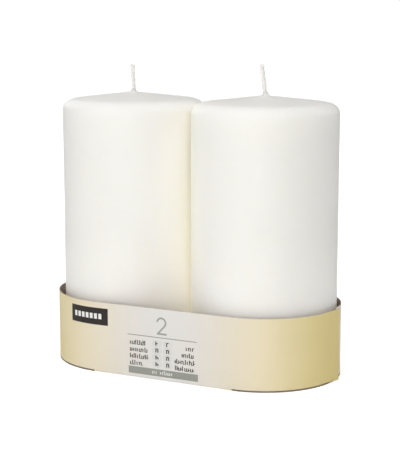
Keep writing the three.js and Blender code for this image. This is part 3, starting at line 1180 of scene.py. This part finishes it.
for side in SIDES:
    pillar(side)
    wick(side)
    sustainer(side)
tray_band()
tray_base()
inner_flap("seam_flap_board", seam_along - SEAM_OVERLAP, seam_along, board + FLAP_FOOT_GAP,
           tray_height - FLAP_TOP_GAP, doubled_board, "seam_flap")
inner_flap("rear_flap_board", half_round - flap_high.x, half_round + flap_high.x, board,
           flap_high.z, doubled_board, "rear_glue_flap")
print_badge()
numeral_two()
printed_block("print_rule", *RULE, RULE_INK)
print_ovals()
print_words()
print_size_bar()

# ---- Stage, light and camera -------------------------------------------------


# Name, power, width, azimuth, elevation and distance of each softbox.
SOFTBOXES = (
    ("key", 3.1, 1.0, 10, 50, 1.5),
    ("front", 15.3, 1.0, 18, 5, 1.6),
    ("left_fill", 2.8, 1.3, -45, 20, 1.5),
    ("back_left", 5.2, 0.9, -120, 25, 1.5),
    ("back_right", 5.6, 0.9, 140, 25, 1.5),
    ("overhead", 12.2, 1.6, 0, 88, 1.5),
)
SOFTBOX_AIM = Vector((0, 0, 80 * MM))
WORLD_SEEN = 1.05
WORLD_LIT = 0.05

CAMERA_AZIMUTH = 26.41
CAMERA_ELEVATION = 9.52
CAMERA_DISTANCE = 0.6994
CAMERA_AIM = Vector((2.06 * MM, 0, 76.8 * MM))
CAMERA_LENS = 98.7


def look_back(azimuth, elevation):
    """The way from an aim to an eye or a lamp. Azimuth 0 is in front and 90 is on the right."""
    turn, rise = math.radians(azimuth), math.radians(elevation)
    return Vector((math.sin(turn) * math.cos(rise), -math.cos(turn) * math.cos(rise),
                   math.sin(rise)))


def hang(name, data, aim, back, distance):
    """Puts a lamp or a camera at a distance from its aim, facing it."""
    holder = bpy.data.objects.new(name, data)
    bpy.context.scene.collection.objects.link(holder)
    holder.location = aim + back * distance
    holder.rotation_euler = back.to_track_quat("Z", "Y").to_euler()
    return holder


def softbox(name, power, width, azimuth, elevation, distance):
    light = bpy.data.lights.new(name, "AREA")
    light.energy = power
    light.size = width
    hang(name, light, SOFTBOX_AIM, look_back(azimuth, elevation), distance)


FLOOR_DIM_REACH = 0.2
FLOOR_BRIGHT_REACH = 0.9


def stage():
    """A wide pale floor that looks evenly lit far away and lets the object's shade show near it."""
    deselect_all()
    bpy.ops.mesh.primitive_plane_add(size=12, location=(0, 0, 0))
    floor = bpy.context.object
    floor.name = "floor"
    material, tree, shader, place = start_material("pale_floor", Roughness=0.9)
    shader.inputs["Emission Strength"].default_value = 1.0
    reach = tree.nodes.new("ShaderNodeVectorMath")
    reach.operation = "LENGTH"
    tree.links.new(place, reach.inputs[0])
    glow = remap(tree, reach.outputs["Value"], FLOOR_DIM_REACH, FLOOR_BRIGHT_REACH, 0.5, 1.0,
                 smooth=True)
    rays = tree.nodes.new("ShaderNodeLightPath")
    tree.links.new(math_node(tree, "MULTIPLY", glow, rays.outputs["Is Camera Ray"]),
                   shader.inputs["Emission Color"])
    mottle = place_group(tree, soft_mottle, place, Light_Colour=(0.93, 0.93, 0.93, 1),
                         Dark_Colour=(0.915, 0.915, 0.912, 1), Patch_Scale=6.0, Amount=0.5)
    tree.links.new(mottle.outputs["Colour"], shader.inputs["Base Color"])
    floor.data.materials.append(material)


def studio():
    """The softboxes, and a world that is bright to the camera and dim to everything else."""
    for values in SOFTBOXES:
        softbox(*values)
    world = bpy.data.worlds.new("studio")
    bpy.context.scene.world = world
    world.use_nodes = True
    tree = world.node_tree
    seen = tree.nodes["Background"]
    seen.inputs["Strength"].default_value = WORLD_SEEN
    lit = tree.nodes.new("ShaderNodeBackground")
    lit.inputs["Strength"].default_value = WORLD_LIT
    chooser = tree.nodes.new("ShaderNodeMixShader")
    rays = tree.nodes.new("ShaderNodeLightPath")
    for background in (seen, lit):
        background.inputs["Color"].default_value = WHITE
    link(tree, [(rays.outputs["Is Camera Ray"], chooser.inputs[0]),
                (lit.outputs[0], chooser.inputs[1]), (seen.outputs[0], chooser.inputs[2]),
                (chooser.outputs[0], tree.nodes["World Output"].inputs["Surface"])])
    bpy.context.scene.view_settings.view_transform = "Standard"


def camera():
    lens = bpy.data.cameras.new("camera")
    lens.lens = CAMERA_LENS
    lens.sensor_width = 36
    lens.clip_start = 0.01
    bpy.context.scene.camera = hang("camera", lens, CAMERA_AIM,
                                    look_back(CAMERA_AZIMUTH, CAMERA_ELEVATION), CAMERA_DISTANCE)


stage()
studio()
camera()

deselect_all()
